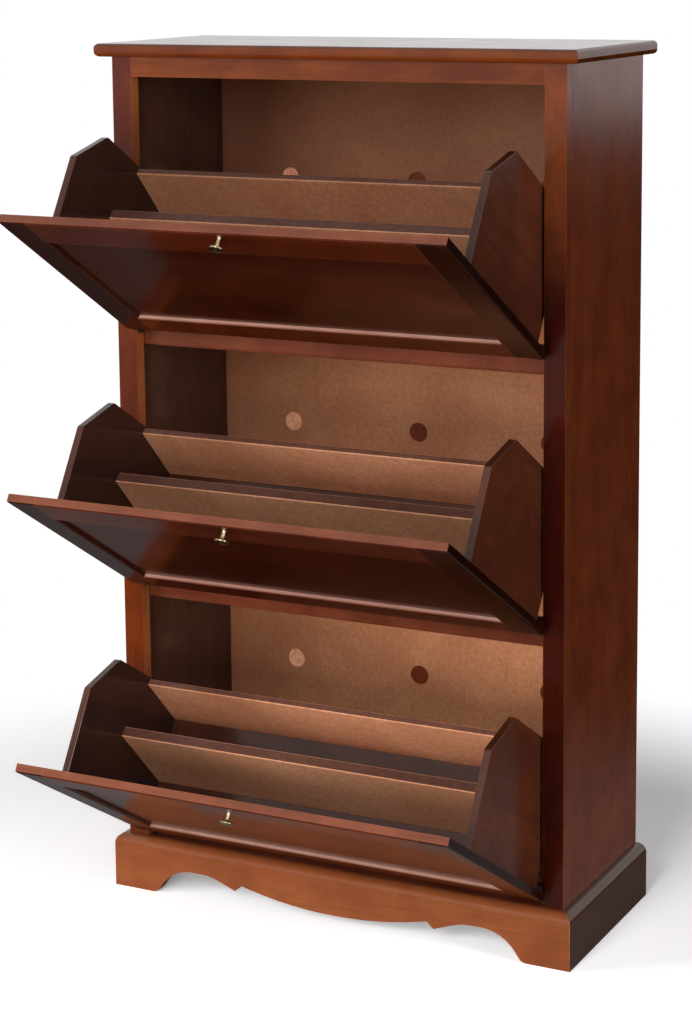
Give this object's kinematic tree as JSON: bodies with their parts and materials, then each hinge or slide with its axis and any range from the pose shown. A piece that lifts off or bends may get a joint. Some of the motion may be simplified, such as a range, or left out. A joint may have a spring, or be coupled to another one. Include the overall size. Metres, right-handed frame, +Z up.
{
  "type": "tilt-out shoe cabinet",
  "caption": "Tall shallow shoe cabinet: framed tilt-out flaps with angular cheeks and leaning shoe boards, in a face frame with moulded top and scalloped plinth.",
  "frame": {"origin": "middle of the underside of the cabinet's overall box with all flaps open, on the floor", "axes": "+Z up; -Y towards the viewer, the side the flaps open to; +Y towards the wall; X across the cabinet"},
  "size_m": [0.706, 0.5986, 1.2],
  "materials": {
    "lacquer": "gloss mahogany lacquer",
    "dark_lacquer": "gloss dark mahogany lacquer",
    "shoe_board": "satin copper-brown stain",
    "back_board": "matte copper-brown stain",
    "raw_wood": "unfinished",
    "knob_brass": "aged, brushed",
    "steel": "zinc plated"
  },
  "bodies": {
    "carcass": {"top_board": "lacquer", "left_side": "dark_lacquer", "right_side": "dark_lacquer", "left_stile": "lacquer", "right_stile": "lacquer", "top_rail": "lacquer", "upper_divider_rail": "shoe_board", "lower_divider_rail": "shoe_board", "bottom_rail": "shoe_board", "base_board": "shoe_board", "back_panel": "back_board", "plinth_front": "lacquer", "plinth_left": "dark_lacquer", "plinth_right": "dark_lacquer", "glue_blocks": "raw_wood", "pivot_brackets": "steel"},
    "upper_flap": {"upper_front_stiles": "lacquer", "upper_front_rails": "lacquer", "upper_front_panel": "lacquer", "upper_front_bead": "lacquer", "upper_knob": "knob_brass", "upper_knob_screw": "steel", "upper_left_cheek": "dark_lacquer", "upper_right_cheek": "dark_lacquer", "upper_rear_board": "shoe_board", "upper_middle_board": "shoe_board", "upper_pocket_floor": "dark_lacquer", "upper_cleats": "dark_lacquer", "upper_stop_dowels": "raw_wood", "upper_pivot_plates": "steel"},
    "middle_flap": {"middle_front_stiles": "lacquer", "middle_front_rails": "lacquer", "middle_front_panel": "lacquer", "middle_front_bead": "lacquer", "middle_knob": "knob_brass", "middle_knob_screw": "steel", "middle_left_cheek": "dark_lacquer", "middle_right_cheek": "dark_lacquer", "middle_rear_board": "shoe_board", "middle_middle_board": "shoe_board", "middle_pocket_floor": "dark_lacquer", "middle_cleats": "dark_lacquer", "middle_stop_dowels": "raw_wood", "middle_pivot_plates": "steel"},
    "lower_flap": {"lower_front_stiles": "lacquer", "lower_front_rails": "lacquer", "lower_front_panel": "lacquer", "lower_front_bead": "lacquer", "lower_knob": "knob_brass", "lower_knob_screw": "steel", "lower_left_cheek": "dark_lacquer", "lower_right_cheek": "dark_lacquer", "lower_rear_board": "shoe_board", "lower_middle_board": "shoe_board", "lower_pocket_floor": "dark_lacquer", "lower_cleats": "dark_lacquer", "lower_stop_dowels": "raw_wood", "lower_pivot_plates": "steel"}
  },
  "joints": [
    {"name": "upper_flap_hinge", "type": "hinge", "parent": "carcass", "child": "upper_flap", "pos_m": [0, 0.01831, 0.81167], "axis": [-1, 0, 0], "range_deg": [0, 59]},
    {"name": "middle_flap_hinge", "type": "hinge", "parent": "carcass", "child": "middle_flap", "pos_m": [0, 0.01831, 0.45133], "axis": [-1, 0, 0], "range_deg": [0, 59]},
    {"name": "lower_flap_hinge", "type": "hinge", "parent": "carcass", "child": "lower_flap", "pos_m": [0, 0.01831, 0.091], "axis": [-1, 0, 0], "range_deg": [0, 59]}
  ]
}
